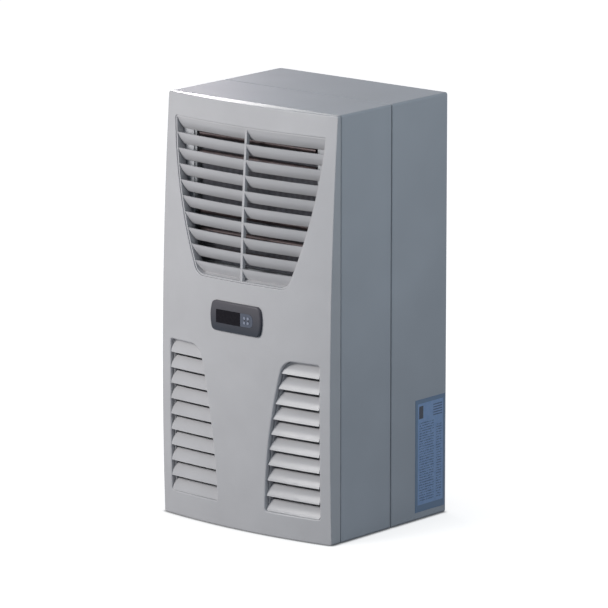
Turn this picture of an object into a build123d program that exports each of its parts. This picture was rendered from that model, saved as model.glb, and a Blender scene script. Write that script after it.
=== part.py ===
from build123d import *
import os
from math import asin, cos, degrees, sin, sqrt

os.makedirs("parts", exist_ok=True)

# Compact wall-mounted enclosure air conditioner, in millimetres.
# +X is to the right seen from the front, the front faces -Y and +Z is up.
# The origin is the centre of the footprint, on the underside.

# Housing
body_width = 280.0
body_height = 550.0
chassis_depth = 110.0
cover_depth = 98.5
seam_gap = 2.0
panel_gap = 2.0
sheet = 1.5
bend_radius = 1.5
corner_radius = 3.0
return_flange = 14.0
seam_recess = 3.0
seam_strip_width = 9.0
fit = 0.3

# Front panel, a moulding bowed across its width and over its height
panel_depth = 32.5
panel_bow = 12.5
panel_top_depth = 5.0
panel_wall = 3.0
panel_edge_radius = 1.5
crown_height = 175.0
seat_rim = 3.0

# Upper air grille, its outline and blades set out from the housing's top and sides
grille_top_margin = 28.8
grille_side_margin = 15.0
grille_middle_taper = 15.7
grille_bottom_taper = 50.0
grille_top_radius = 3.0
grille_bottom_radius = 18.0
grille_blade_pitch = 19.9
grille_first_drop = 1.7
grille_blade_depth = 9.6
grille_blade_height = 16.0
grille_depth = 13.0
sill_depth = 11.0
sill_rise = 2.0
blade_thickness = 2.4
blade_crown = 1.3
grille_step = 1.5
grille_edge_radius = 0.8
frame_wall = 1.8
blade_step = 0.3
rib_width = 3.4
rib_step = 2.4
rib_depth = 8.0

# Lower louvres, one group on each side, sunk where they meet the panel's raised middle
louvre_top_drop = 318.0
louvre_bottom = 32.0
louvre_side_margin = 16.5
louvre_top_inner = 70.0
louvre_middle_inner = 48.7
louvre_bottom_inner = 40.0
louvre_top_radius = 20.0
louvre_corner_radius = 3.0
louvre_edge_radius = 2.0
louvre_blade_pitch = 20.35
louvre_first_drop = 2.4
louvre_blade_depth = 9.0
louvre_blade_height = 15.0
louvre_sink = 3.4
louvre_flush_step = 0.3
louvre_frame_step = 3.0
louvre_depth = 15.0
collar_wall = 2.0

# Controller display
display_width = 84.5
display_height = 39.0
display_waist = 77.0
display_x = -4.8
display_drop = 273.5
display_grille_gap = 26.5
display_rise = 4.0
display_corner_radius = 7.0
display_edge_radius = 2.0
display_body_width = 70.0
display_body_height = 31.0
display_body_depth = 14.0
window_width = 40.4
window_height = 17.8
window_offset = -11.3
window_corner_radius = 1.0
keypad_width = 21.0
keypad_end_radius = 7.0
window_sink = 0.8
key_rise = 0.8
key_radius = 1.8
key_spacing = 6.0

# Cover front openings behind the grille and the louvres
cover_window_side_margin = 36.0
cover_window_top_step = 4.0
cover_window_bottom_step = 8.0
cover_window_radius = 8.0
louvre_window_inner = 44.0
louvre_window_side_step = 4.0
louvre_window_end_step = 12.0

# Condenser behind the upper grille
coil_side_margin = 40.0
coil_height = 180.0
coil_thickness = 24.0
coil_front_gap = 8.0
tube_radius = 4.0
tube_pitch = 25.0
coil_flange = 6.0

# Rear plate with the openings of the inner air circuit
inlet_radius = 80.0
inlet_top_margin = 150.0
nozzle_wall = 2.0
nozzle_length = 16.0
nozzle_throat = 70.0
guard_bar = 3.0
guard_ring_pitch = 14.0
guard_rings = 4
guard_sheet = 1.5
guard_rim = 6.0
outlet_side_margin = 40.0
outlet_height = 100.0
outlet_z = 110.0
outlet_frame = 8.0
vane_count = 6
vane_thickness = 1.5
vane_depth = 14.0
vane_tilt = 30.0

# Fan of the inner air circuit
fan_radius = 64.0
fan_hub_radius = 28.0
fan_depth = 34.0
fan_blades = 9
fan_blade_thickness = 2.0
fan_blade_tilt = 35.0
fan_blade_length = 38.0
fan_disc = 2.5
fan_gap = 6.0
motor_radius = 42.0

# Evaporator behind the outlet
evaporator_gap = 6.0

# Fixing points, connector, drain and rating plate
fixing_margin = 22.0
fixing_radius = 4.0
insert_radius = 7.0
insert_length = 18.0
socket_width = 56.0
socket_height = 22.0
socket_depth = 24.0
socket_side_margin = 58.0
socket_top_margin = 48.0
socket_flange = 4.0
socket_pin_count = 5
socket_pin_size = 4.0
socket_pin_pitch = 8.0
socket_pin_depth = 12.0
drain_radius = 6.0
drain_bore = 4.0
drain_pocket_radius = 16.0
drain_pocket_height = 22.0
drain_clearance = 2.0
drain_side_margin = 50.0
drain_back_margin = 37.5
plate_depth = 60.0
plate_height = 148.0
plate_thickness = 0.3
plate_bottom = 10.0
plate_back_margin = 2.0

# Depths of the main faces, from back to front
total_depth = chassis_depth + seam_gap + cover_depth + panel_gap + panel_depth
back_y = total_depth / 2
chassis_front_y = back_y - chassis_depth
cover_back_y = chassis_front_y - seam_gap
cover_front_y = cover_back_y - cover_depth
panel_back_y = cover_front_y - panel_gap
panel_front_y = panel_back_y - panel_depth

# Curvature of the front panel
half_width = body_width / 2
bow_radius = (half_width**2 + panel_bow**2) / (2 * panel_bow)
side_fall = panel_depth - panel_bow - panel_top_depth
side_radius = ((body_height - crown_height) ** 2 + side_fall**2) / (2 * side_fall)
crown_radius = side_radius + panel_bow
crown_axis_y = panel_front_y + crown_radius
overrun = 15.0
form_sections = 5
form_back_y = cover_front_y + overrun

# Places set out from the housing's edges
grille_top = body_height - grille_top_margin
display_z = body_height - display_drop
grille_bottom = display_z + display_height / 2 + display_grille_gap
grille_height = grille_top - grille_bottom
grille_top_half = half_width - grille_side_margin
grille_middle_half = grille_top_half - grille_middle_taper
grille_bottom_half = grille_top_half - grille_bottom_taper
grille_blade_run = grille_height - grille_first_drop - grille_blade_height
grille_blades = int(grille_blade_run / grille_blade_pitch) + 1
louvre_top = body_height - louvre_top_drop
louvre_outer = half_width - louvre_side_margin
louvre_blades = int((louvre_top - louvre_bottom) / louvre_blade_pitch) + 1
inlet_height = body_height - inlet_top_margin
outlet_width = body_width - 2 * outlet_side_margin
socket_x = socket_side_margin - half_width
socket_z = body_height - socket_top_margin
drain_x = half_width - drain_side_margin
drain_y = back_y - drain_back_margin


def front_plane(y):
    """Plane that faces forward at depth y, with X and Z as its own axes."""
    return Plane.XZ.offset(-y)


def face_y(z):
    """Depth of the panel's curved face on its centre line at height z."""
    return crown_axis_y - sqrt(crown_radius**2 - (z - crown_height) ** 2)


def bowed_block(inset):
    """Block behind the panel's doubly curved face, with that face set back by inset."""
    with BuildPart() as block:
        for section in range(form_sections):
            z = -overrun + section * (body_height + 2 * overrun) / (form_sections - 1)
            arc_centre = face_y(z) + bow_radius
            front = arc_centre - bow_radius + inset
            with BuildSketch(Plane.XY.offset(z)):
                with BuildLine():
                    reach = half_width + overrun
                    side = arc_centre - sqrt((bow_radius - inset) ** 2 - reach**2)
                    arc = ThreePointArc((-reach, side), (0, front), (reach, side))
                    Polyline(arc @ 1, (reach, form_back_y), (-reach, form_back_y), arc @ 0)
                make_face()
        loft()
    return block.part


def housing_slab(front_y, rear_y, inset=0.0):
    """Slice of the housing's outline between two depths, inset on all sides."""
    with BuildPart() as slab:
        with BuildSketch(front_plane(rear_y)):
            with Locations((0, body_height / 2)):
                RectangleRounded(
                    body_width - 2 * inset,
                    body_height - 2 * inset,
                    max(corner_radius - inset, sheet / 2),
                )
        extrude(amount=rear_y - front_y)
    return slab.part


def grille_prism(inset):
    """Shield-shaped outline of the upper grille, run through the panel."""
    middle = (grille_top + grille_bottom) / 2
    with BuildPart() as prism:
        with BuildSketch(front_plane(cover_front_y)) as outline:
            with BuildLine():
                top = Line((-grille_top_half, grille_top), (grille_top_half, grille_top))
                bottom = Line((grille_bottom_half, grille_bottom), (-grille_bottom_half, grille_bottom))
                ThreePointArc(top @ 1, (grille_middle_half, middle), bottom @ 0)
                ThreePointArc(bottom @ 1, (-grille_middle_half, middle), top @ 0)
            make_face()
            fillet(outline.vertices().group_by(Axis.Y)[-1], grille_top_radius)
            fillet(outline.vertices().group_by(Axis.Y)[0], grille_bottom_radius)
            if inset > 0:
                offset(amount=-inset, mode=Mode.REPLACE)
        extrude(amount=panel_depth + overrun)
    return prism.part


def louvre_prism(inset):
    """Outline of the right-hand louvre group, run through the panel."""
    middle = (louvre_top + louvre_bottom) / 2
    with BuildPart() as prism:
        with BuildSketch(front_plane(cover_front_y)) as outline:
            with BuildLine():
                inner = ThreePointArc(
                    (louvre_bottom_inner, louvre_bottom),
                    (louvre_middle_inner, middle),
                    (louvre_top_inner, louvre_top),
                )
                outer = Line((louvre_outer, louvre_top), (louvre_outer, louvre_bottom))
                Line(inner @ 1, outer @ 0)
                Line(outer @ 1, inner @ 0)
            make_face()
            fillet(outline.vertices().group_by(Axis.X)[-1], louvre_corner_radius)
            fillet(outline.vertices().sort_by(Axis.X)[0], louvre_corner_radius)
            fillet(outline.vertices().group_by(Axis.Y)[-1].sort_by(Axis.X)[0], louvre_top_radius)
            if inset != 0:
                offset(amount=-inset, mode=Mode.REPLACE)
        extrude(amount=panel_depth + overrun)
    return prism.part


def bow_section(z, sink, bow):
    """Upright plane through the axis of a bow of that radius, x running out to its face."""
    reach = asin(grille_top_half / bow) + asin(overrun / bow)
    plane = Plane(
        origin=(0, face_y(z) + sink + bow, z),
        x_dir=(-sin(reach), -cos(reach), 0),
        z_dir=(-cos(reach), sin(reach), 0),
    )
    return plane, degrees(2 * reach)


def blade_row(first_z, count, pitch, height, depths, sink, bow):
    """Blades of curved section that follow a bow, with their depths from top to bottom."""
    top, low = depths
    middle = (top + low) / 2 - blade_crown
    with BuildPart() as blades:
        for index in range(count):
            z = first_z - index * pitch
            plane, angle = bow_section(z, sink, bow)
            with BuildSketch(plane):
                with BuildLine():
                    face = ThreePointArc(
                        (bow - top, 0), (bow - middle, -height / 2), (bow - low, -height)
                    )
                    back = ThreePointArc(
                        (bow - low - blade_thickness, -height),
                        (bow - middle - blade_thickness, -height / 2),
                        (bow - top - blade_thickness, 0),
                    )
                    Line(face @ 1, back @ 0)
                    Line(back @ 1, face @ 0)
                make_face()
            revolve(axis=Axis(plane.origin, (0, 0, 1)), revolution_arc=angle)
    return blades.part


# Shapes that several pieces share
panel_form = bowed_block(0)
flush_form = bowed_block(grille_step)
inner_form = bowed_block(panel_wall)
louvre_opening = louvre_prism(0)

# Front panel with its rim, seat and openings
with BuildPart() as panel_cavity:
    add(housing_slab(panel_front_y, panel_back_y, panel_wall))
    add(inner_form, mode=Mode.INTERSECT)

with BuildPart() as louvre_collar:
    add(louvre_prism(-collar_wall))
    add(bowed_block(panel_wall / 2), mode=Mode.INTERSECT)
    add(bowed_block(louvre_sink + louvre_frame_step - fit), mode=Mode.SUBTRACT)

with BuildPart() as front_panel:
    add(housing_slab(panel_front_y - overrun, panel_back_y))
    add(panel_form, mode=Mode.INTERSECT)
    fillet(front_panel.faces().sort_by(Axis.Y)[0].edges(), panel_edge_radius)
    add(panel_cavity.part, mode=Mode.SUBTRACT)
    add(housing_slab(panel_back_y - seat_rim, cover_front_y, panel_wall))
    add(
        housing_slab(panel_back_y - seat_rim, cover_front_y, panel_wall + seat_rim),
        mode=Mode.SUBTRACT,
    )
    add(louvre_collar.part)
    add(louvre_collar.part.mirror(Plane.YZ))
    add(grille_prism(0), mode=Mode.SUBTRACT)
    add(louvre_opening, mode=Mode.SUBTRACT)
    add(louvre_opening.mirror(Plane.YZ), mode=Mode.SUBTRACT)
    panel_face = front_panel.faces().sort_by(Axis.Y)[0]
    left_rim, right_rim = panel_face.inner_wires().sort_by(Axis.Z)[:2].sort_by(Axis.X)
    inner_edges = left_rim.edges().sort_by(Axis.X)[-2:] + right_rim.edges().sort_by(Axis.X)[:2]
    fillet(inner_edges, louvre_edge_radius)
    panel_face = front_panel.faces().sort_by(Axis.Y)[0]
    fillet(panel_face.inner_wires().sort_by(Axis.Z)[-1].edges(), grille_edge_radius)
    with BuildSketch(front_plane(cover_front_y)):
        with Locations((display_x, display_z)):
            Rectangle(display_body_width + 2 * fit, display_body_height + 2 * fit)
    extrude(amount=panel_depth + overrun, mode=Mode.SUBTRACT)
front_panel.part.label = "front_panel"
export_step(front_panel.part, "parts/front_panel.step")

# Upper grille: frame, centre rib, sill and blades whose top edges stand at the front
with BuildPart() as grille_frame:
    add(grille_prism(fit))
    add(grille_prism(fit + frame_wall), mode=Mode.SUBTRACT)
    add(flush_form, mode=Mode.INTERSECT)
    add(bowed_block(grille_step + grille_depth), mode=Mode.SUBTRACT)

with BuildPart() as grille_rib:
    with BuildSketch(front_plane(cover_front_y)):
        with Locations((0, (grille_top + grille_bottom) / 2)):
            Rectangle(rib_width, grille_height - frame_wall)
    extrude(amount=panel_depth + overrun)
    add(bowed_block(rib_step), mode=Mode.INTERSECT)
    add(bowed_block(rib_depth), mode=Mode.SUBTRACT)

with BuildPart() as grille_sill:
    sill_z = grille_bottom + fit + frame_wall / 2
    sill_plane, sill_angle = bow_section(sill_z, grille_step, bow_radius)
    with BuildSketch(sill_plane):
        with BuildLine():
            Polyline(
                (bow_radius - frame_wall, 0),
                (bow_radius - sill_depth, frame_wall / 2 + sill_rise),
                (bow_radius - sill_depth, 0),
                close=True,
            )
        make_face()
    revolve(axis=Axis(sill_plane.origin, (0, 0, 1)), revolution_arc=sill_angle)
    add(grille_prism(fit + frame_wall / 2), mode=Mode.INTERSECT)

with BuildPart() as upper_grille:
    add(
        blade_row(
            grille_top - grille_first_drop,
            grille_blades,
            grille_blade_pitch,
            grille_blade_height,
            (0, grille_blade_depth),
            grille_step + blade_step,
            bow_radius,
        )
    )
    add(grille_prism(fit + frame_wall / 2), mode=Mode.INTERSECT)
    add(grille_frame.part)
    add(grille_rib.part)
    add(grille_sill.part)
    split(bisect_by=front_plane(cover_front_y - fit), keep=Keep.TOP)
upper_grille.part.label = "upper_grille"
export_step(upper_grille.part, "parts/upper_grille.step")

# Lower louvres: frame behind the panel and blades whose lower edges stand at the front
outer_face = bow_radius - sqrt(bow_radius**2 - louvre_outer**2)
outer_fall = outer_face + louvre_flush_step - louvre_sink
louvre_bow = (louvre_outer**2 + outer_fall**2) / (2 * outer_fall)
with BuildPart() as louvre_frame:
    add(louvre_prism(fit))
    add(louvre_prism(fit + frame_wall), mode=Mode.SUBTRACT)
    add(bowed_block(louvre_sink + louvre_frame_step), mode=Mode.INTERSECT)
    add(bowed_block(louvre_depth), mode=Mode.SUBTRACT)

with BuildPart() as louvre_right:
    add(
        blade_row(
            louvre_top - louvre_first_drop,
            louvre_blades,
            louvre_blade_pitch,
            louvre_blade_height,
            (louvre_blade_depth, 0),
            louvre_sink,
            louvre_bow,
        )
    )
    add(louvre_prism(fit), mode=Mode.INTERSECT)
    add(louvre_frame.part)
louvre_right.part.label = "louvre_right"
export_step(louvre_right.part, "parts/louvre_right.step")

with BuildPart() as louvre_left:
    add(louvre_right.part.mirror(Plane.YZ))
louvre_left.part.label = "louvre_left"
export_step(louvre_left.part, "parts/louvre_left.step")


def bezel_outline():
    """Display outline: straight top and bottom, ends that bulge."""
    with BuildSketch(front_plane(cover_front_y)) as outline:
        with BuildLine():
            low = display_z - display_height / 2
            high = display_z + display_height / 2
            left = display_x - display_waist / 2
            right = display_x + display_waist / 2
            Line((left, low), (right, low))
            ThreePointArc((right, low), (display_x + display_width / 2, display_z), (right, high))
            Line((right, high), (left, high))
            ThreePointArc((left, high), (display_x - display_width / 2, display_z), (left, low))
        make_face()
        fillet(outline.vertices(), display_corner_radius)
    return outline.sketch


def controls_outline(depth, left, right, left_radius, right_radius, inset):
    """Outline in the display's pocket between two places, with its own end radii."""
    with BuildSketch(front_plane(depth)) as outline:
        with Locations(((left + right) / 2, display_z)):
            Rectangle(right - left, window_height - 2 * inset)
        fillet(outline.vertices().group_by(Axis.X)[0], left_radius)
        fillet(outline.vertices().group_by(Axis.X)[-1], right_radius)
    return outline.sketch


# Display bezel, seated on the panel's face, with a body through the panel
display_face_y = face_y(display_z) - display_rise
pocket_y = display_face_y + window_sink
pocket_left = display_x + window_offset - window_width / 2
pocket_middle = pocket_left + window_width
pocket_right = pocket_middle + keypad_width

with BuildPart() as display_bezel:
    extrude(bezel_outline(), amount=panel_depth + overrun)
    add(bowed_block(-display_rise), mode=Mode.INTERSECT)
    fillet(display_bezel.faces().sort_by(Axis.Y)[0].edges(), display_edge_radius)
    add(panel_form, mode=Mode.SUBTRACT)
    with BuildSketch(front_plane(face_y(display_z) + display_body_depth)):
        with Locations((display_x, display_z)):
            Rectangle(display_body_width, display_body_height)
    extrude(amount=display_body_depth + display_rise / 2)
    extrude(
        controls_outline(
            pocket_y, pocket_left, pocket_right, window_corner_radius, keypad_end_radius, 0
        ),
        amount=display_rise,
        mode=Mode.SUBTRACT,
    )
display_bezel.part.label = "display_bezel"
export_step(display_bezel.part, "parts/display_bezel.step")

with BuildPart() as display_window:
    extrude(
        controls_outline(
            pocket_y,
            pocket_left + fit,
            pocket_middle - fit,
            window_corner_radius,
            window_corner_radius,
            fit,
        ),
        amount=window_sink / 2,
    )
display_window.part.label = "display_window"
export_step(display_window.part, "parts/display_window.step")

with BuildPart() as display_keypad:
    extrude(
        controls_outline(
            pocket_y,
            pocket_middle + fit,
            pocket_right - fit,
            window_corner_radius,
            keypad_end_radius - fit,
            fit,
        ),
        amount=window_sink / 2,
    )
display_keypad.part.label = "display_keypad"
export_step(display_keypad.part, "parts/display_keypad.step")

with BuildPart() as display_keys:
    with BuildSketch(front_plane(pocket_y - window_sink / 2)):
        with Locations(((pocket_middle + pocket_right) / 2, display_z)):
            with GridLocations(key_spacing, key_spacing, 2, 2):
                Circle(key_radius)
    extrude(amount=key_rise)
display_keys.part.label = "display_keys"
export_step(display_keys.part, "parts/display_keys.step")

# Cover, a folded sheet hood with windows behind the grille and the louvres
cover_window_half = half_width - cover_window_side_margin
cover_window_top = grille_top - cover_window_top_step
cover_window_bottom = grille_bottom + cover_window_bottom_step
louvre_window_width = louvre_outer - louvre_window_side_step - louvre_window_inner
louvre_window_height = louvre_top - louvre_bottom - 2 * louvre_window_end_step
louvre_window_x = louvre_window_inner + louvre_window_width / 2
louvre_window_z = (louvre_top + louvre_bottom) / 2
with BuildPart() as front_cover:
    add(housing_slab(cover_front_y, cover_back_y))
    ends = front_cover.faces().sort_by(Axis.Y)
    fillet(ends[0].edges() + ends[-1].edges(), bend_radius)
    add(housing_slab(cover_front_y + sheet, cover_back_y - sheet, sheet), mode=Mode.SUBTRACT)
    add(housing_slab(cover_back_y - sheet, cover_back_y, return_flange), mode=Mode.SUBTRACT)
    with BuildSketch(front_plane(cover_front_y + sheet)):
        with Locations((0, (cover_window_top + cover_window_bottom) / 2)):
            RectangleRounded(
                2 * cover_window_half,
                cover_window_top - cover_window_bottom,
                cover_window_radius,
            )
        with Locations((-louvre_window_x, louvre_window_z), (louvre_window_x, louvre_window_z)):
            RectangleRounded(louvre_window_width, louvre_window_height, cover_window_radius)
        with Locations((display_x, display_z)):
            Rectangle(display_body_width, display_body_height)
    extrude(amount=sheet, mode=Mode.SUBTRACT)
front_cover.part.label = "front_cover"
export_step(front_cover.part, "parts/front_cover.step")

# Seam strip, set back between the cover and the chassis
with BuildPart() as seam_strip:
    add(housing_slab(cover_back_y, chassis_front_y, seam_recess))
    add(
        housing_slab(cover_back_y, chassis_front_y, seam_recess + seam_strip_width),
        mode=Mode.SUBTRACT,
    )
seam_strip.part.label = "seam_strip"
export_step(seam_strip.part, "parts/seam_strip.step")

# Condenser coil behind the grille, carried by the cover's front wall
coil_width = body_width - 2 * coil_side_margin
coil_back_y = cover_front_y + sheet + coil_front_gap + coil_thickness
coil_z = (cover_window_top + cover_window_bottom) / 2
with BuildPart() as condenser_frame:
    with BuildSketch(front_plane(coil_back_y)):
        with Locations((0, coil_z)):
            Rectangle(coil_width + 2 * coil_flange, coil_height + 2 * coil_flange)
            Rectangle(coil_width, coil_height, mode=Mode.SUBTRACT)
    extrude(amount=coil_front_gap + coil_thickness)
condenser_frame.part.label = "condenser_frame"
export_step(condenser_frame.part, "parts/condenser_frame.step")

with BuildPart() as condenser_core:
    with BuildSketch(front_plane(coil_back_y)):
        with Locations((0, coil_z)):
            Rectangle(coil_width, coil_height)
    extrude(amount=coil_thickness)
condenser_core.part.label = "condenser_core"
export_step(condenser_core.part, "parts/condenser_core.step")

with BuildPart() as condenser_tubes:
    with BuildSketch(Plane.YZ.offset(tube_radius - coil_width / 2)):
        with Locations((coil_back_y - coil_thickness - tube_radius, coil_z)):
            with GridLocations(tube_pitch, tube_pitch, 1, int(coil_height / tube_pitch)):
                Circle(tube_radius)
    extrude(amount=coil_width - 2 * tube_radius)
condenser_tubes.part.label = "condenser_tubes"
export_step(condenser_tubes.part, "parts/condenser_tubes.step")

# Rear chassis, a folded tray whose front wall parts the two air circuits
with BuildPart() as rear_chassis:
    add(housing_slab(chassis_front_y, back_y))
    fillet(rear_chassis.faces().sort_by(Axis.Y)[0].edges(), bend_radius)
    add(housing_slab(chassis_front_y + sheet, back_y - 2 * sheet, sheet), mode=Mode.SUBTRACT)
    add(housing_slab(back_y - 2 * sheet, back_y - sheet, return_flange), mode=Mode.SUBTRACT)
    add(housing_slab(back_y - sheet, back_y, sheet), mode=Mode.SUBTRACT)
    with BuildSketch(Plane.XY):
        with Locations((drain_x, drain_y)):
            Circle(drain_pocket_radius + sheet)
    extrude(amount=drain_pocket_height + sheet)
    with BuildSketch(Plane.XY):
        with Locations((drain_x, drain_y)):
            Circle(drain_pocket_radius)
    extrude(amount=drain_pocket_height, mode=Mode.SUBTRACT)
rear_chassis.part.label = "rear_chassis"
export_step(rear_chassis.part, "parts/rear_chassis.step")

# Condensate drain spigot, hanging in its pocket clear of the underside
with BuildPart() as drain_spigot:
    with BuildSketch(Plane.XY.offset(drain_clearance)):
        with Locations((drain_x, drain_y)):
            Circle(drain_radius)
            Circle(drain_bore, mode=Mode.SUBTRACT)
    extrude(amount=drain_pocket_height - drain_clearance)
drain_spigot.part.label = "drain_spigot"
export_step(drain_spigot.part, "parts/drain_spigot.step")

# Rear plate with the openings of the inner air circuit, the connector and the fixings
fixing_centre = (0, body_height / 2)
fixing_width = body_width - 2 * fixing_margin
fixing_height = body_height - 2 * fixing_margin
with BuildPart() as rear_plate:
    add(housing_slab(back_y - sheet, back_y, sheet + fit))
    with BuildSketch(front_plane(back_y)):
        with Locations((0, inlet_height)):
            Circle(inlet_radius)
        with Locations((0, outlet_z)):
            Rectangle(outlet_width, outlet_height)
        with Locations((socket_x, socket_z)):
            Rectangle(socket_width, socket_height)
        with Locations(fixing_centre):
            with GridLocations(fixing_width, fixing_height, 2, 2):
                Circle(insert_radius + fit)
    extrude(amount=sheet, mode=Mode.SUBTRACT)
rear_plate.part.label = "rear_plate"
export_step(rear_plate.part, "parts/rear_plate.step")

# Threaded inserts at the four fixing points
with BuildPart() as fixing_inserts:
    with BuildSketch(front_plane(back_y)):
        with Locations(fixing_centre):
            with GridLocations(fixing_width, fixing_height, 2, 2):
                Circle(insert_radius)
                Circle(fixing_radius, mode=Mode.SUBTRACT)
    extrude(amount=insert_length)
fixing_inserts.part.label = "fixing_inserts"
export_step(fixing_inserts.part, "parts/fixing_inserts.step")

# Inlet of the inner circuit: guard, with its rings drawn from the rim inwards, and nozzle
with BuildPart() as inlet_guard:
    with BuildSketch(front_plane(back_y)):
        with Locations((0, inlet_height)):
            Circle(inlet_radius - fit)
            Circle(inlet_radius - fit - guard_rim, mode=Mode.SUBTRACT)
            for ring in reversed(range(guard_rings)):
                ring_radius = guard_ring_pitch * (ring + 1)
                Circle(ring_radius + guard_bar / 2)
                Circle(ring_radius - guard_bar / 2, mode=Mode.SUBTRACT)
            Rectangle(2 * inlet_radius - guard_rim, guard_bar)
            Rectangle(guard_bar, 2 * inlet_radius - guard_rim)
    extrude(amount=guard_sheet)
inlet_guard.part.label = "inlet_guard"
export_step(inlet_guard.part, "parts/inlet_guard.step")

with BuildPart() as inlet_nozzle:
    with BuildSketch(front_plane(back_y - sheet)):
        with Locations((0, inlet_height)):
            Circle(inlet_radius + guard_rim)
            Circle(nozzle_throat, mode=Mode.SUBTRACT)
    extrude(amount=nozzle_wall)
    with BuildSketch(front_plane(back_y - sheet)):
        with Locations((0, inlet_height)):
            Circle(nozzle_throat + nozzle_wall)
            Circle(nozzle_throat, mode=Mode.SUBTRACT)
    extrude(amount=nozzle_length)
inlet_nozzle.part.label = "inlet_nozzle"
export_step(inlet_nozzle.part, "parts/inlet_nozzle.step")

# Fan of the inner circuit: motor on the chassis' front wall, impeller on the motor
fan_front_y = back_y - sheet - nozzle_wall - fan_gap - fan_depth
motor_back_y = fan_front_y - fit
wall_back_y = chassis_front_y + sheet
with BuildPart() as fan_motor:
    with BuildSketch(front_plane(motor_back_y)):
        with Locations((0, inlet_height)):
            Circle(motor_radius)
    extrude(amount=motor_back_y - wall_back_y)
fan_motor.part.label = "fan_motor"
export_step(fan_motor.part, "parts/fan_motor.step")

with BuildPart() as fan_impeller:
    with BuildSketch(front_plane(fan_front_y)):
        with Locations((0, inlet_height)):
            Circle(fan_radius)
    extrude(amount=-fan_disc)
    with BuildSketch(front_plane(fan_front_y)):
        with Locations((0, inlet_height)):
            Circle(fan_hub_radius)
            with PolarLocations((fan_radius + fan_hub_radius) / 2, fan_blades):
                Rectangle(fan_blade_length, fan_blade_thickness, rotation=fan_blade_tilt)
    extrude(amount=-fan_depth)
fan_impeller.part.label = "fan_impeller"
export_step(fan_impeller.part, "parts/fan_impeller.step")

# Outlet of the inner circuit: frame with tilted vanes, evaporator behind it
with BuildPart() as outlet_grille:
    with BuildSketch(front_plane(back_y)):
        with Locations((0, outlet_z)):
            Rectangle(outlet_width - 2 * fit, outlet_height - 2 * fit)
            Rectangle(
                outlet_width - 2 * outlet_frame,
                outlet_height - 2 * outlet_frame,
                mode=Mode.SUBTRACT,
            )
    extrude(amount=vane_depth)
    vane_pitch = (outlet_height - 2 * outlet_frame) / vane_count
    with BuildSketch(Plane.YZ.offset((outlet_frame - outlet_width) / 2)):
        with Locations((back_y - vane_depth / 2, outlet_z)):
            with GridLocations(vane_pitch, vane_pitch, 1, vane_count):
                Rectangle(vane_depth, vane_thickness, rotation=vane_tilt)
    extrude(amount=outlet_width - outlet_frame)
outlet_grille.part.label = "outlet_grille"
export_step(outlet_grille.part, "parts/outlet_grille.step")

evaporator_back_y = back_y - vane_depth - evaporator_gap
with BuildPart() as evaporator_core:
    with BuildSketch(front_plane(evaporator_back_y)):
        with Locations((0, outlet_z)):
            Rectangle(outlet_width, outlet_height)
    extrude(amount=evaporator_back_y - wall_back_y)
evaporator_core.part.label = "evaporator_core"
export_step(evaporator_core.part, "parts/evaporator_core.step")

# Connector for the supply, set in the rear plate
with BuildPart() as supply_socket:
    with BuildSketch(front_plane(back_y)):
        with Locations((socket_x, socket_z)):
            Rectangle(socket_width - 2 * fit, socket_height - 2 * fit)
    extrude(amount=socket_depth)
    with BuildSketch(front_plane(back_y - sheet)):
        with Locations((socket_x, socket_z)):
            Rectangle(socket_width + 2 * socket_flange, socket_height + 2 * socket_flange)
    extrude(amount=sheet)
    with BuildSketch(front_plane(back_y)):
        with Locations((socket_x, socket_z)):
            with GridLocations(socket_pin_pitch, socket_pin_pitch, socket_pin_count, 1):
                Rectangle(socket_pin_size, socket_pin_size)
    extrude(amount=socket_pin_depth, mode=Mode.SUBTRACT)
supply_socket.part.label = "supply_socket"
export_step(supply_socket.part, "parts/supply_socket.step")

# Rating plate on the right-hand side of the chassis
plate_y = back_y - plate_back_margin - plate_depth / 2
with BuildPart() as rating_plate:
    with BuildSketch(Plane.YZ.offset(half_width)):
        with Locations((plate_y, plate_bottom + plate_height / 2)):
            Rectangle(plate_depth, plate_height)
    extrude(amount=plate_thickness)
rating_plate.part.label = "rating_plate"
export_step(rating_plate.part, "parts/rating_plate.step")
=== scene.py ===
from math import cos, pi, radians, sin

import bmesh
import bpy
from mathutils import Matrix, Vector


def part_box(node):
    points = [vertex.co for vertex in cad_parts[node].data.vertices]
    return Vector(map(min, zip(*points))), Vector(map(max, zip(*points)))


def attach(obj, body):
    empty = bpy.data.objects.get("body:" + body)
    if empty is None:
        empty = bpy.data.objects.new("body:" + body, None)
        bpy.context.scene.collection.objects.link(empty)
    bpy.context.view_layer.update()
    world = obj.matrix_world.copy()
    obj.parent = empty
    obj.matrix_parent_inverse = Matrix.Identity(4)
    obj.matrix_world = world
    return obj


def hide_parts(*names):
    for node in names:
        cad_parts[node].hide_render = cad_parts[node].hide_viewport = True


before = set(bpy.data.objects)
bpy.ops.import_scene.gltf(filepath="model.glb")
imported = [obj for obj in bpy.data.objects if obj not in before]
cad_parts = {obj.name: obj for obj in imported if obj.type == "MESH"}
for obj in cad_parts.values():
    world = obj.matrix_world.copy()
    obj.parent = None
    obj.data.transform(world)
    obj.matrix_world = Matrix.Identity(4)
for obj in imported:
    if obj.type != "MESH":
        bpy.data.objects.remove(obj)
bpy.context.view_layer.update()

ROOT = "root"
MM = 0.001

# Sockets of the Mix node when it mixes colours
MIX_FIRST = 6
MIX_SECOND = 7
MIX_RESULT = 2


# Materials


def linear(colour, gain=1.0):
    """Linear colour of 0-255 display values, each multiplied by gain."""
    values = []
    for value in colour:
        share = min(255, value * gain) / 255
        values.append(share / 12.92 if share <= 0.04045 else ((share + 0.055) / 1.055) ** 2.4)
    return (*values, 1.0)


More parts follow.
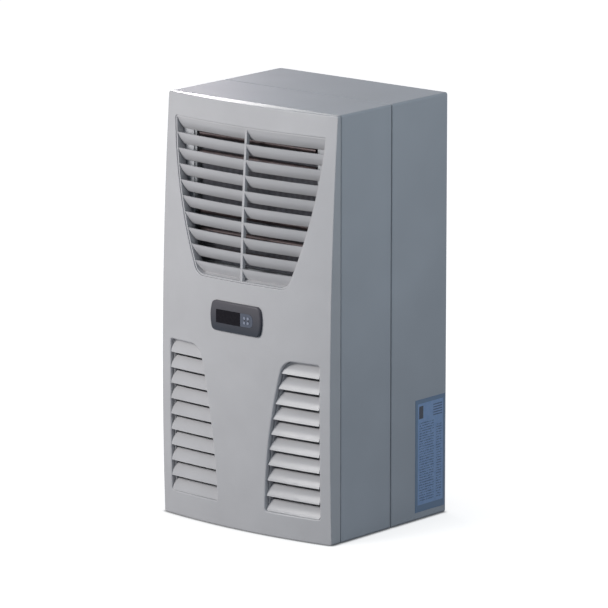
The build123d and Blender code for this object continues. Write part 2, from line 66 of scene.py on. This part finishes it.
class Shade:
    """A node material with short calls for the textures that it is made of."""

    def __init__(self, name, roughness=0.5, metallic=0.0, **sockets):
        self.material = bpy.data.materials.new(name)
        self.material.use_nodes = True
        self.tree = self.material.node_tree
        self.shader = self.tree.nodes["Principled BSDF"]
        self.shader.inputs["Roughness"].default_value = roughness
        self.shader.inputs["Metallic"].default_value = metallic
        for socket, value in sockets.items():
            self.shader.inputs[socket.replace("_", " ")].default_value = value
        self.place = self.node("ShaderNodeTexCoord").outputs["Object"]

    def node(self, kind, **settings):
        node = self.tree.nodes.new(kind)
        for name, value in settings.items():
            setattr(node, name, value)
        return node

    def link(self, source, target):
        """Feed a socket from another socket, or set it to a plain value."""
        if isinstance(source, bpy.types.NodeSocket):
            self.tree.links.new(source, target)
        else:
            target.default_value = source

    def stretched(self, x, y, z):
        """Object coordinates scaled by axis, for brushed or streaked textures."""
        mapping = self.node("ShaderNodeMapping")
        self.link(self.place, mapping.inputs["Vector"])
        mapping.inputs["Scale"].default_value = (x, y, z)
        return mapping.outputs["Vector"]

    def noise(self, size, detail=2.0, rough=0.5, vector=None):
        """Noise whose features are about size metres across."""
        node = self.node("ShaderNodeTexNoise")
        self.link(vector or self.place, node.inputs["Vector"])
        node.inputs["Scale"].default_value = 1 / size
        node.inputs["Detail"].default_value = detail
        node.inputs["Roughness"].default_value = rough
        return node.outputs["Fac"]

    def cells(self, size, output="Distance"):
        """Cells about size metres across: distance to their middles, or a colour for each."""
        node = self.node("ShaderNodeTexVoronoi")
        self.link(self.place, node.inputs["Vector"])
        node.inputs["Scale"].default_value = 1 / size
        return node.outputs[output]

    def wave(self, pitch, axis):
        """Sine bands that repeat every pitch metres along an axis."""
        node = self.node("ShaderNodeTexWave", bands_direction=axis)
        self.link(self.place, node.inputs["Vector"])
        node.inputs["Scale"].default_value = 2 * pi / (20 * pitch)
        return node.outputs["Fac"]

    def math(self, operation, first, second=0.5):
        node = self.node("ShaderNodeMath", operation=operation)
        self.link(first, node.inputs[0])
        self.link(second, node.inputs[1])
        return node.outputs[0]

    def spread(self, value, low, high, start=0.3, end=0.7):
        """Value between start and end mapped to the range from low to high."""
        node = self.node("ShaderNodeMapRange")
        self.link(value, node.inputs["Value"])
        node.inputs["From Min"].default_value = start
        node.inputs["From Max"].default_value = end
        node.inputs["To Min"].default_value = low
        node.inputs["To Max"].default_value = high
        return node.outputs["Result"]

    def mix(self, factor, first, second):
        node = self.node("ShaderNodeMix", data_type="RGBA")
        self.link(factor, node.inputs["Factor"])
        self.link(first, node.inputs[MIX_FIRST])
        self.link(second, node.inputs[MIX_SECOND])
        return node.outputs[MIX_RESULT]

    def blend(self, value, dark, light, start=0.3, end=0.7):
        """From a dark to a light linear colour as value goes from start to end."""
        return self.mix(self.spread(value, 0, 1, start, end), dark, light)

    def axis(self, name):
        node = self.node("ShaderNodeSeparateXYZ")
        self.link(self.place, node.inputs["Vector"])
        return node.outputs[name]

    def inside(self, value, low, high):
        """1 between low and high millimetres, else 0."""
        above = self.math("GREATER_THAN", value, low * MM)
        below = self.math("LESS_THAN", value, high * MM)
        return self.math("MULTIPLY", above, below)

    def colour(self, value):
        self.link(value, self.shader.inputs["Base Color"])

    def rough(self, value):
        self.link(value, self.shader.inputs["Roughness"])

    def bump(self, *layers):
        """Bump from (height, depth in metres) layers, one on the other."""
        normal = None
        for height, depth in layers:
            node = self.node("ShaderNodeBump")
            node.inputs["Strength"].default_value = 1.0
            node.inputs["Distance"].default_value = depth
            self.link(height, node.inputs["Height"])
            if normal:
                self.link(normal, node.inputs["Normal"])
            normal = node.outputs["Normal"]
        self.link(normal, self.shader.inputs["Normal"])


def moulded(name, colour, roughness, grain=0.9, depth=0.015, variation=0.015, **sockets):
    """Moulded plastic: eroded grain, slight flow marks and uneven gloss. Lengths in mm."""
    shade = Shade(name, roughness, **sockets)
    cloud = shade.noise(60 * MM, 3.0)
    grains = shade.noise(grain * MM, 3.0, 0.6)
    tone = shade.blend(cloud, linear(colour, 1 - variation), linear(colour, 1 + variation))
    pits = linear(colour, 0.93)
    shade.colour(shade.mix(shade.spread(grains, 0.16, 0, 0.35, 0.5), tone, pits))
    gloss = shade.noise(25 * MM, 2.0)
    shade.rough(shade.spread(gloss, roughness - 0.04, roughness + 0.05))
    shade.bump((grains, depth * MM), (shade.noise(14 * MM, 1.0), 0.05 * MM))
    return shade


def powder(name, colour, roughness):
    """Powder coat: orange peel under a fine speckle."""
    shade = Shade(name, roughness, Specular_IOR_Level=0.1)
    peel = shade.noise(2.2 * MM, 1.0)
    fine = shade.noise(0.5 * MM, 2.0)
    cloud = shade.noise(120 * MM, 2.0)
    tone = shade.blend(cloud, linear(colour, 0.975), linear(colour, 1.015))
    speck = linear(colour, 0.9)
    shade.colour(shade.mix(shade.spread(fine, 0.12, 0, 0.32, 0.42), tone, speck))
    shade.rough(shade.spread(peel, roughness - 0.05, roughness + 0.07))
    shade.bump((peel, 0.035 * MM), (fine, 0.01 * MM))
    return shade


def panel_plastic():
    return moulded("panel_plastic", (192, 192, 194), 0.22, Specular_IOR_Level=0.22)


def cover_paint():
    return powder("cover_paint", (193, 195, 199), 0.5)


def bezel_plastic():
    """Satin plastic with painted light: lighter and warmer at the top of the bezel than at its foot."""
    shade = Shade("bezel_plastic", 0.34, Specular_IOR_Level=0.3)
    foot, top = 258 * MM, 295 * MM
    # painted light: the bezel's colour runs from dark at its foot to lighter at its top, standing for light
    # from above
    tone = shade.blend(shade.axis("Z"), linear((32, 40, 52)), linear((84, 82, 88)), foot, top)
    grains = shade.noise(0.6 * MM, 3.0, 0.6)
    pits = linear((24, 26, 32))
    shade.colour(shade.mix(shade.spread(grains, 0.2, 0, 0.35, 0.5), tone, pits))
    shade.rough(shade.spread(shade.noise(12 * MM), 0.28, 0.4))
    shade.bump((grains, 0.01 * MM))
    return shade


def display_glass():
    """Dark window with the faint lines of an unlit display."""
    shade = Shade("display_glass", 0.25, Specular_IOR_Level=0.08)
    lines = shade.wave(1.1 * MM, "Z")
    tone = shade.blend(lines, linear((12, 10, 17)), linear((20, 18, 26)))
    cloud = shade.noise(9 * MM, 2.0)
    shade.colour(shade.mix(shade.spread(cloud, 0, 0.5), tone, linear((22, 20, 27))))
    shade.rough(shade.spread(shade.noise(4 * MM), 0.2, 0.32))
    return shade


def keypad_film():
    return moulded("keypad_film", (66, 74, 90), 0.4, 0.5, 0.01)


def key_rubber():
    shade = Shade("key_rubber", 0.55)
    grain = shade.noise(0.4 * MM, 2.0)
    shade.colour(shade.blend(grain, linear((118, 124, 140)), linear((140, 146, 162))))
    shade.bump((grain, 0.02 * MM))
    return shade


def seam_foam():
    shade = Shade("seam_foam", 0.95)
    pores = shade.cells(0.9 * MM)
    shade.colour(shade.blend(pores, linear((34, 35, 38)), linear((58, 59, 62)), 0.1, 0.5))
    shade.bump((pores, 0.2 * MM))
    return shade


def coil_aluminium():
    """Upright fins with dust in patches; the dark bands between the fins and the dark core are painted shade.
    """
    shade = Shade("coil_aluminium", 0.45, 0.7)
    fins = shade.wave(2.0 * MM, "X")
    dust = shade.noise(18 * MM, 4.0)
    # painted shade: dark bands between the fins, and a core far darker than bare aluminium, stand for the
    # shade inside the unit
    tone = shade.blend(fins, linear((50, 51, 56)), linear((140, 142, 152)), 0.2, 0.8)
    shade.colour(shade.mix(shade.spread(dust, 0, 0.35), tone, linear((98, 94, 94))))
    shade.bump((fins, 0.5 * MM))
    return shade


def tube_copper():
    """Dull copper with stains, its colour darkened nearly to grey as painted shade of the unit's inside."""
    shade = Shade("tube_copper", 0.5, 0.6)
    stain = shade.noise(7 * MM, 4.0)
    # painted shade: both stain colours are darkened nearly to grey for the shade inside the unit
    shade.colour(shade.blend(stain, linear((66, 59, 62)), linear((86, 74, 74))))
    shade.rough(shade.spread(stain, 0.3, 0.5))
    shade.bump((shade.noise(0.8 * MM), 0.02 * MM))
    return shade


def zinc_steel():
    """Galvanised sheet with its spangle."""
    shade = Shade("zinc_steel", 0.42, 1.0)
    flakes = shade.node("ShaderNodeSeparateColor")
    shade.link(shade.cells(9 * MM, "Color"), flakes.inputs["Color"])
    tone = shade.blend(flakes.outputs["Red"], linear((156, 160, 164)), linear((180, 184, 188)), 0, 1)
    stain = shade.noise(90 * MM, 3.0)
    shade.colour(shade.mix(shade.spread(stain, 0, 0.3), tone, linear((140, 142, 144))))
    shade.rough(shade.spread(flakes.outputs["Green"], 0.34, 0.52, 0, 1))
    shade.bump((shade.noise(1.6 * MM), 0.015 * MM))
    return shade


def guard_paint():
    return powder("guard_paint", (44, 45, 48), 0.4)


def fan_plastic():
    return moulded("fan_plastic", (40, 41, 44), 0.5, 0.7, 0.02, 0.08)


def insert_steel():
    """Turned steel with fine streaks, and a thread in its bores."""
    shade = Shade("insert_steel", 0.3, 1.0)
    steel = (196, 190, 172)
    streaks = shade.noise(4 * MM, 4.0, 0.6, shade.stretched(1.0, 30.0, 1.0))
    shade.colour(shade.blend(streaks, linear(steel, 0.9), linear(steel, 1.06)))
    shade.rough(shade.spread(streaks, 0.24, 0.4))
    shade.bump((shade.wave(1.25 * MM, "Y"), 0.3 * MM), (shade.noise(2 * MM), 0.01 * MM))
    return shade


def socket_plastic():
    return moulded("socket_plastic", (42, 44, 47), 0.32, 0.8, 0.008, 0.06)


def drain_plastic():
    return moulded("drain_plastic", (212, 212, 206), 0.4)


# Fields of the rating plate in millimetres: nearest, farthest, lowest and highest
PLATE_INNER = (65.5, 117, 19, 152.5)
PLATE_ROWS = ((68.5, 98, 24, 127), (103, 114, 24, 120))
PLATE_STEM = (68, 76.5, 132.5, 149)
PLATE_HEAD = (97, 115, 132, 148)
RULE_PITCH = 3.4
RULE_SHARE = 0.42


def plate_foil():
    """Rating plate bare of words: a border, two dark fields and broken rules."""
    shade = Shade("plate_foil", 0.36, Specular_IOR_Level=0.3)
    y = shade.axis("Y")
    z = shade.axis("Z")

    def field(near, far, low, high):
        return shade.math("MULTIPLY", shade.inside(y, near, far), shade.inside(z, low, high))

    grain = shade.noise(6 * MM, 3.0)
    foil = shade.blend(grain, linear((128, 160, 202)), linear((146, 174, 212)))
    tone = shade.mix(field(*PLATE_INNER), linear((108, 132, 160)), foil)
    ink = linear((44, 62, 96))
    letters = shade.noise(MM, 1.0, 0.5, shade.stretched(1, 0.55, 1.0))
    dashes = shade.math("GREATER_THAN", letters, 0.47)
    row = shade.math("FRACT", shade.math("MULTIPLY", z, 1 / (RULE_PITCH * MM)))
    rule = shade.math("LESS_THAN", row, RULE_SHARE)
    text = shade.math("MAXIMUM", field(*PLATE_ROWS[0]), field(*PLATE_ROWS[1]))
    body = shade.math("MULTIPLY", shade.math("MULTIPLY", rule, dashes), text)
    tone = shade.mix(shade.math("MULTIPLY", body, 0.85), tone, ink)
    tone = shade.mix(shade.math("MULTIPLY", field(*PLATE_STEM), 0.92), tone, linear((10, 16, 32)))
    head = shade.math("MULTIPLY", field(*PLATE_HEAD), rule)
    shade.colour(shade.mix(shade.math("MULTIPLY", head, 0.85), tone, ink))
    shade.rough(shade.spread(grain, 0.3, 0.42))
    shade.bump((shade.noise(1.5 * MM), 0.01 * MM))
    return shade


FINISHES = {
    "panel_plastic": (panel_plastic, ["front_panel", "upper_grille", "louvre_right", "louvre_left"]),
    "cover_paint": (cover_paint, ["front_cover", "rear_chassis"]),
    "bezel_plastic": (bezel_plastic, ["display_bezel"]),
    "display_glass": (display_glass, ["display_window"]),
    "keypad_film": (keypad_film, ["display_keypad"]),
    "key_rubber": (key_rubber, ["display_keys"]),
    "seam_foam": (seam_foam, ["seam_strip"]),
    "coil_aluminium": (coil_aluminium, ["condenser_core", "evaporator_core"]),
    "tube_copper": (tube_copper, ["condenser_tubes"]),
    "zinc_steel": (zinc_steel, ["rear_plate", "condenser_frame", "inlet_nozzle"]),
    "guard_paint": (guard_paint, ["inlet_guard", "outlet_grille"]),
    "fan_plastic": (fan_plastic, ["fan_impeller", "fan_motor"]),
    "insert_steel": (insert_steel, ["fixing_inserts"]),
    "socket_plastic": (socket_plastic, ["supply_socket"]),
    "drain_plastic": (drain_plastic, ["drain_spigot"]),
    "plate_foil": (plate_foil, ["rating_plate"]),
}
materials = {}
for slot, (make, nodes) in FINISHES.items():
    materials[slot] = make().material
    for name in nodes:
        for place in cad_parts[name].material_slots:
            place.material = materials[slot]


# Small pieces


def mesh_of(name, shape):
    """Blender mesh of a bmesh, with its faces turned outwards."""
    mesh = bpy.data.meshes.new(name)
    bmesh.ops.recalc_face_normals(shape, faces=shape.faces)
    shape.to_mesh(mesh)
    shape.free()
    return mesh


def add_object(name, data):
    item = bpy.data.objects.new(name, data)
    bpy.context.collection.objects.link(item)
    return item


def add_piece(name, shape, slot):
    """Piece that rides on the housing and takes its finish from a slot."""
    piece = add_object(name, mesh_of(name, shape))
    piece.data.materials.append(materials[slot])
    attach(piece, ROOT)


def loft(shape, rings):
    """Solid through rings of equal count, closed at both ends."""
    for near, far in zip(rings, rings[1:]):
        for i in range(len(near)):
            shape.faces.new((near[i], near[i - 1], far[i - 1], far[i]))
    shape.faces.new(rings[0])
    shape.faces.new(rings[-1])


PIN_COUNT = 5
PIN_PITCH = 8 * MM
PIN_HALF = 1.1 * MM
PIN_TIP_HALF = 0.5 * MM
PIN_TIP_LENGTH = 1.5 * MM
PIN_FOOT_DEPTH = 12 * MM
PIN_TIP_DEPTH = 2 * MM


def socket_pins():
    """Square contacts with narrowed ends, standing in the chambers of the supply socket."""
    low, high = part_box("supply_socket")
    centre_z = (low[2] + high[2]) / 2
    foot = high[1] - PIN_FOOT_DEPTH
    tip = high[1] - PIN_TIP_DEPTH
    shape = bmesh.new()
    for place in range(PIN_COUNT):
        x = (low[0] + high[0]) / 2 + (place - PIN_COUNT // 2) * PIN_PITCH
        rings = []
        for y, half in ((foot, PIN_HALF), (tip - PIN_TIP_LENGTH, PIN_HALF), (tip, PIN_TIP_HALF)):
            corners = ((-half, -half), (half, -half), (half, half), (-half, half))
            rings.append([shape.verts.new((x + dx, y, centre_z + dz)) for dx, dz in corners])
        loft(shape, rings)
    add_piece("socket_pins", shape, "insert_steel")


MARK_OUTLINE = ((-1.5, 0), (-0.6, -0.8), (1.0, -0.8), (1.5, 0), (0.6, 0.8), (-1.0, 0.8))
MARK_INSET = 1.8 * MM
MARK_HEIGHT = 0.2 * MM
MARK_ROOT = 0.1 * MM


def key_marks():
    """Two plain raised marks on the keypad, between its upper and lower keys."""
    low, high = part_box("display_keys")
    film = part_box("display_keypad")[0][1]
    middle = (low[2] + high[2]) / 2
    shape = bmesh.new()
    for x in (low[0] + MARK_INSET, high[0] - MARK_INSET):
        loft(shape, [
            [shape.verts.new((x + dx * MM, y, middle + dz * MM)) for dx, dz in MARK_OUTLINE]
            for y in (film - MARK_HEIGHT, film + MARK_ROOT)
        ])
    add_piece("key_marks", shape, "bezel_plastic")


# Screws of the rear plate in millimetres: places from the middle, seat and head
SCREW_PLACES = ((130, 70), (130, 190), (66, 266))
HOUSING_MIDDLE = 275
SEAT_RADIUS = 3.9
SEAT_DEPTH = 0.5
HEAD_RADIUS = 3.5
HEAD_CHAMFER = 0.25
HEAD_FOOT_DEPTH = 0.7
HEAD_EDGE_DEPTH = 0.22
HEAD_TOP_DEPTH = 0.05
RECESS_DEPTH = 0.6
RECESS_TOP = (1.9, 0.5)
RECESS_FLOOR = (1.4, 0.35)
ROUND_POINTS = 48


def screw_places():
    """Places of the rear plate's screws, the same on all four quarters."""
    for across, up in SCREW_PLACES:
        for side in (-1, 1):
            for rise in (-1, 1):
                yield side * across * MM, (HOUSING_MIDDLE + rise * up) * MM


def ring(shape, place, y, reaches):
    """Closed ring of vertices round a place on the plane y, at the given distances in mm."""
    turn = 2 * pi / len(reaches)
    return [
        shape.verts.new((place[0] + r * MM * sin(i * turn), y, place[1] + r * MM * cos(i * turn)))
        for i, r in enumerate(reaches)
    ]


def circle(radius):
    return [radius] * ROUND_POINTS


def cross(reach, half_width):
    """Distances from the middle to the outline of a cross, at even angles."""
    reaches = []
    for i in range(ROUND_POINTS):
        angle = radians(abs((i * 360 / ROUND_POINTS + 45) % 90 - 45))
        side = half_width / sin(angle) if angle else reach
        reaches.append(min(reach / cos(angle), side))
    return reaches


def rear_screws():
    """Screw heads in their seats, each with a cross recess."""
    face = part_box("rear_plate")[1][1]
    outlines = (
        (HEAD_FOOT_DEPTH, circle(HEAD_RADIUS)),
        (HEAD_EDGE_DEPTH, circle(HEAD_RADIUS)),
        (HEAD_TOP_DEPTH, circle(HEAD_RADIUS - HEAD_CHAMFER)),
        (HEAD_TOP_DEPTH, cross(*RECESS_TOP)),
        (RECESS_DEPTH, cross(*RECESS_FLOOR)),
    )
    shape = bmesh.new()
    for place in screw_places():
        loft(shape, [ring(shape, place, face - depth * MM, reaches) for depth, reaches in outlines])
    add_piece("rear_screws", shape, "insert_steel")


def seated_plate():
    """The rear plate again, with a round seat sunk for each of its screws."""
    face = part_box("rear_plate")[1][1]
    shape = bmesh.new()
    for place in screw_places():
        loft(shape, [ring(shape, place, y, circle(SEAT_RADIUS)) for y in (face - SEAT_DEPTH * MM, face + MM)])
    cutter = add_object("seat_cutter", mesh_of("seat_cutter", shape))
    plate = add_object("rear_plate_seated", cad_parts["rear_plate"].data.copy())
    cut = plate.modifiers.new("seats", "BOOLEAN")
    cut.operation = "DIFFERENCE"
    cut.solver = "EXACT"
    cut.object = cutter
    finished = plate.evaluated_get(bpy.context.evaluated_depsgraph_get())
    mesh = bpy.data.meshes.new_from_object(finished)
    plate.modifiers.clear()
    plate.data = mesh
    seats = cutter.data
    bpy.data.objects.remove(cutter)
    bpy.data.meshes.remove(seats)
    mesh.materials.clear()
    mesh.materials.append(materials["zinc_steel"])
    for polygon in mesh.polygons:
        polygon.material_index = 0
    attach(plate, ROOT)
    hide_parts("rear_plate")


socket_pins()
key_marks()
rear_screws()
seated_plate()


# Stage, light and camera

FLOOR_REACH = 12
FLOOR_SEEN = (0.35, 0.35, 0.35, 1)
FLOOR_BOUNCE = ((0.19, 0.21, 0.24, 1), (0.2, 0.22, 0.25, 1))
AMBIENT_COLOUR = (0.64, 0.79, 1.0, 1)
AMBIENT_STRENGTH = 0.165


def direct_ray(tree):
    """1 for what the camera, a gloss or a view through glass sees, else 0."""
    path = tree.nodes.new("ShaderNodeLightPath")
    found = path.outputs["Is Camera Ray"]
    for kind in ("Is Glossy Ray", "Is Transmission Ray"):
        either = tree.nodes.new("ShaderNodeMath")
        either.operation = "MAXIMUM"
        tree.links.new(found, either.inputs[0])
        tree.links.new(path.outputs[kind], either.inputs[1])
        found = either.outputs[0]
    return found


def by_ray(tree, unseen, seen):
    """Shader that is seen by direct rays and lights the scene as unseen."""
    pick = tree.nodes.new("ShaderNodeMixShader")
    tree.links.new(direct_ray(tree), pick.inputs[0])
    tree.links.new(unseen.outputs[0], pick.inputs[1])
    tree.links.new(seen.outputs[0], pick.inputs[2])
    return pick.outputs[0]


def contact(shade, reach, darkest):
    """Shade of the floor within reach of what stands on it, from 1 down to darkest."""
    node = shade.node("ShaderNodeAmbientOcclusion", samples=8)
    node.inputs["Distance"].default_value = reach
    return shade.spread(node.outputs["AO"], darkest, 1.0, 0.5, 1.0)


def floor_white():
    """White where the camera or a gloss looks at it, with painted shade dimming it near the middle and a
    contact shadow, pale grey to all other light.
    """
    shade = Shade("floor_white", 0.9)
    shade.colour(shade.blend(shade.noise(0.4, 2.0), *FLOOR_BOUNCE))
    diffuse = shade.node("ShaderNodeBsdfDiffuse")
    diffuse.inputs["Color"].default_value = FLOOR_SEEN
    away = shade.node("ShaderNodeVectorMath", operation="LENGTH")
    shade.link(shade.place, away.inputs[0])
    # painted shade: the glow is dimmed to 0.9 near the middle, where the unit stands, and reaches full white
    # farther out
    painted_shade_near_middle = shade.spread(away.outputs["Value"], 0.9, 1.0, 0.3, 0.9)
    shadow = shade.math("MULTIPLY", contact(shade, 6 * MM, 0.1), contact(shade, 90 * MM, 0.85))
    glow = shade.node("ShaderNodeEmission")
    shade.link(shade.math("MULTIPLY", painted_shade_near_middle, shadow), glow.inputs["Strength"])
    seen = shade.node("ShaderNodeAddShader")
    shade.link(diffuse.outputs[0], seen.inputs[0])
    shade.link(glow.outputs[0], seen.inputs[1])
    output = shade.tree.nodes["Material Output"]
    shade.link(by_ray(shade.tree, shade.shader, seen), output.inputs["Surface"])
    return shade


def make_floor():
    shape = bmesh.new()
    bmesh.ops.create_grid(shape, x_segments=8, y_segments=8, size=FLOOR_REACH)
    mesh = bpy.data.meshes.new("floor")
    shape.to_mesh(mesh)
    shape.free()
    mesh.materials.append(floor_white().material)
    add_object("floor", mesh)


def make_world():
    """Pale dome: white to the eye and to gloss, a dim cool light to the rest."""
    world = bpy.data.worlds.new("studio")
    bpy.context.scene.world = world
    world.use_nodes = True
    tree = world.node_tree
    ambient = tree.nodes["Background"]
    ambient.inputs["Color"].default_value = AMBIENT_COLOUR
    ambient.inputs["Strength"].default_value = AMBIENT_STRENGTH
    white = tree.nodes.new("ShaderNodeBackground")
    white.inputs["Color"].default_value = (1, 1, 1, 1)
    tree.links.new(by_ray(tree, ambient, white), tree.nodes["World Output"].inputs["Surface"])


# Lights: name, place, target, size, power and colour
LIGHTS = (
    ("key", (-0.6, -1.55, 0.9), (0, -0.1, 0.35), 0.8, 21.2, (1.0, 0.975, 0.955)),
    ("fill", (-0.7, -1.6, 0.1), (0, -0.1, 0.4), 0.8, 1.2, (0.92, 0.9, 0.95)),
    ("side", (1.15, -0.1, 1.02), (0.14, 0, 0.42), 1.0, 4.85, (0.84, 0.94, 1.0)),
    ("rim", (-1.6, 1.9, 1.15), (0, 0, 0.55), 1.6, 0.6, (1.0, 1.0, 1.0)),
    ("glow", (-0.62, 0.42, 0.8), (-0.14, -0.05, 0.55), 0.25, 1.25, (1.0, 0.9, 0.95)),
    ("strip", (-1.74, 1.78, 1.09), (-0.07, -0.11, 0.55), 0.35, 0.8, (1.0, 0.99, 0.97)),
)


def make_light(name, place, target, size, power, colour):
    data = bpy.data.lights.new(name, "AREA")
    data.shape = "DISK"
    data.size = size
    data.energy = power
    data.color = colour
    light = add_object(name, data)
    light.location = place
    light.rotation_euler = (Vector(target) - Vector(place)).to_track_quat("-Z", "Y").to_euler()


CAMERA_AZIMUTH = radians(39.93)
CAMERA_ELEVATION = radians(12.39)
CAMERA_ROLL = radians(0.02)
CAMERA_DISTANCE = 7.5
CAMERA_SIDE = -0.0106
CAMERA_RISE = -0.0034
CAMERA_BASE = Vector((0, 0.0225, 0.275))
FOCAL_LENGTH = 346.0
SENSOR_WIDTH = 36
FARTHEST_VIEW = 60


def make_camera():
    """Camera at the photograph's angle, with a long lens and no shift."""
    a, e, r = CAMERA_AZIMUTH, CAMERA_ELEVATION, CAMERA_ROLL
    back = Vector((sin(a) * cos(e), -cos(a) * cos(e), sin(e)))
    right = Vector((cos(a), sin(a), 0))
    up = back.cross(right)
    right, up = right * cos(r) + up * sin(r), up * cos(r) - right * sin(r)
    place = CAMERA_BASE + back * CAMERA_DISTANCE + right * CAMERA_SIDE + up * CAMERA_RISE
    data = bpy.data.cameras.new("camera")
    data.lens = FOCAL_LENGTH
    data.sensor_width = SENSOR_WIDTH
    data.clip_end = FARTHEST_VIEW
    camera = add_object("camera", data)
    turn = Matrix((right, up, back)).transposed().to_4x4()
    camera.matrix_world = Matrix.Translation(place) @ turn
    bpy.context.scene.camera = camera


make_floor()
make_world()
for light in LIGHTS:
    make_light(*light)
make_camera()
bpy.context.scene.view_settings.view_transform = "Standard"
